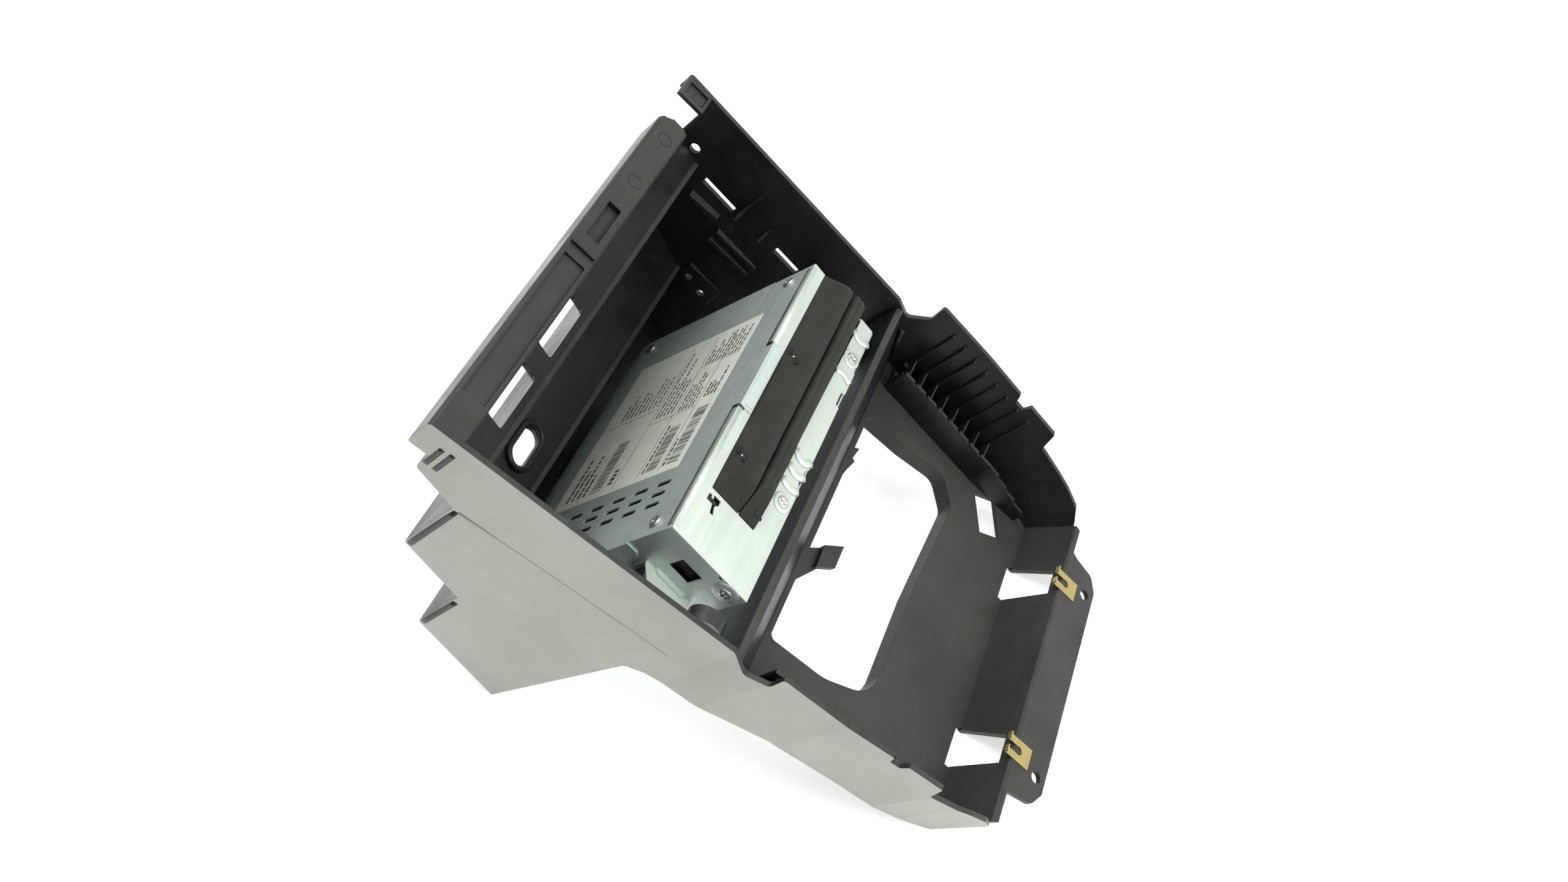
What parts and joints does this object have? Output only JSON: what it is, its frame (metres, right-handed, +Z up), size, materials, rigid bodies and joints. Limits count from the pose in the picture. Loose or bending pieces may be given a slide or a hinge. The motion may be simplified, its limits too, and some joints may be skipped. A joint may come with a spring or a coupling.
{
  "type": "car console with disc player",
  "caption": "Black centre-console moulding with an open upper compartment, a slot-loading disc unit in its bay and a shallow plate with a lever opening.",
  "frame": {"origin": "middle of the underside of the part's box, as it lies on a table", "axes": "+Z up from the table, +X to the console's right as seen by the driver, +Y along the length from the tab at the lower end towards the top beam"},
  "size_m": [0.2508, 0.29, 0.1959],
  "materials": {
    "console_plastic": "fine-grained moulded black",
    "zinc_steel": "zinc-plated sheet, satin",
    "front_steel": "zinc-plated sheet, brighter",
    "gold_steel": "yellow-passivated spring steel",
    "felt": "short dark felt on foam",
    "label": "bare warm grey film",
    "screw_steel": "plated",
    "circuit_board": "green solder mask",
    "dark_plastic": "moulded black",
    "light_plastic": "natural acetal",
    "aluminium": "extruded",
    "grommet_rubber": "soft",
    "motor_can": "drawn can",
    "polished_steel": "ground",
    "lens": "clear lens in its ring"
  },
  "bodies": {
    "console_and_case": {"left_side_wall": "console_plastic", "right_side_wall": "console_plastic", "upper_rear_step": "console_plastic", "middle_rear_step": "console_plastic", "lower_rear_step": "console_plastic", "top_beam": "console_plastic", "bay_flange": "console_plastic", "floor_plate": "console_plastic", "end_riser": "console_plastic", "end_tab": "console_plastic", "left_spring_nut": "gold_steel", "right_spring_nut": "gold_steel", "unit_chassis": "zinc_steel", "unit_top_cover": "zinc_steel", "unit_front_plate": "front_steel", "slot_upper_lip": "felt", "slot_lower_lip": "felt", "unit_label": "label", "left_lug_bracket": "zinc_steel", "right_lug_bracket": "zinc_steel", "case_screws": "screw_steel", "main_board": "circuit_board", "rear_connector": "dark_plastic", "heat_sink": "aluminium", "mechanism_deck": "zinc_steel", "deck_grommets": "grommet_rubber", "spindle_motor": "motor_can", "guide_rods": "polished_steel", "sled_motor": "motor_can", "loading_motor": "motor_can", "disc_guide": "zinc_steel"},
    "turntable": {"disc_turntable": "dark_plastic"},
    "clamp": {"clamp_arm": "zinc_steel"},
    "puck": {"clamp_puck": "dark_plastic"},
    "sled": {"laser_sled": "dark_plastic", "pickup_lens": "lens"},
    "lead": {"lead_screw": "polished_steel"},
    "sled_drive": {"sled_pinion": "light_plastic"},
    "loading_arm": {"roller_arm": "zinc_steel"},
    "roller": {"loading_roller": "grommet_rubber"},
    "idler": {"idler_gear": "light_plastic"},
    "loading_drive": {"loading_pinion": "light_plastic"}
  },
  "joints": [
    {"name": "turntable_spin", "type": "hinge", "parent": "console_and_case", "child": "turntable", "pos_m": [0, 0.0683, 0.07035], "axis": [0, 0.7577, 0.6526], "continuous": true},
    {"name": "clamp_swing", "type": "hinge", "parent": "console_and_case", "child": "clamp", "pos_m": [0, 0.10303, 0.03692], "axis": [-1, 0, 0], "range_deg": [0, 6]},
    {"name": "puck_spin", "type": "hinge", "parent": "clamp", "child": "puck", "pos_m": [0, 0.07133, 0.07296], "axis": [0, 0.7577, 0.6526], "continuous": true},
    {"name": "sled_slide", "type": "slide", "parent": "console_and_case", "child": "sled", "axis": [1, 0, 0], "range_m": [0, 0.034]},
    {"name": "lead_screw_spin", "type": "hinge", "parent": "console_and_case", "child": "lead", "pos_m": [0.04, 0.04576, 0.07998], "axis": [1, 0, 0], "range_deg": [0, 4086]},
    {"name": "sled_pinion_spin", "type": "hinge", "parent": "console_and_case", "child": "sled_drive", "pos_m": [0.071, 0.04103, 0.08547], "axis": [1, 0, 0], "range_deg": [-10742, 0]},
    {"name": "roller_arm_swing", "type": "hinge", "parent": "console_and_case", "child": "loading_arm", "pos_m": [0, 0.03635, 0.10223], "axis": [1, 0, 0], "range_deg": [0, 6]},
    {"name": "loading_roller_spin", "type": "hinge", "parent": "loading_arm", "child": "roller", "pos_m": [0, 0.02696, 0.11314], "axis": [1, 0, 0], "continuous": true},
    {"name": "idler_gear_spin", "type": "hinge", "parent": "console_and_case", "child": "idler", "pos_m": [-0.0726, 0.03635, 0.10223], "axis": [1, 0, 0], "continuous": true},
    {"name": "loading_pinion_spin", "type": "hinge", "parent": "console_and_case", "child": "loading_drive", "pos_m": [-0.0726, 0.03664, 0.08933], "axis": [1, 0, 0], "continuous": true}
  ],
  "couplings": [
    {"joint": "puck_spin", "follows": "turntable_spin", "ratio": 1},
    {"joint": "lead_screw_spin", "follows": "sled_slide", "rad_per_m": 2094.4},
    {"joint": "sled_pinion_spin", "follows": "sled_slide", "rad_per_m": -5511.6},
    {"joint": "loading_roller_spin", "follows": "idler_gear_spin", "ratio": -3.1324},
    {"joint": "loading_pinion_spin", "follows": "idler_gear_spin", "ratio": -5.6053}
  ]
}
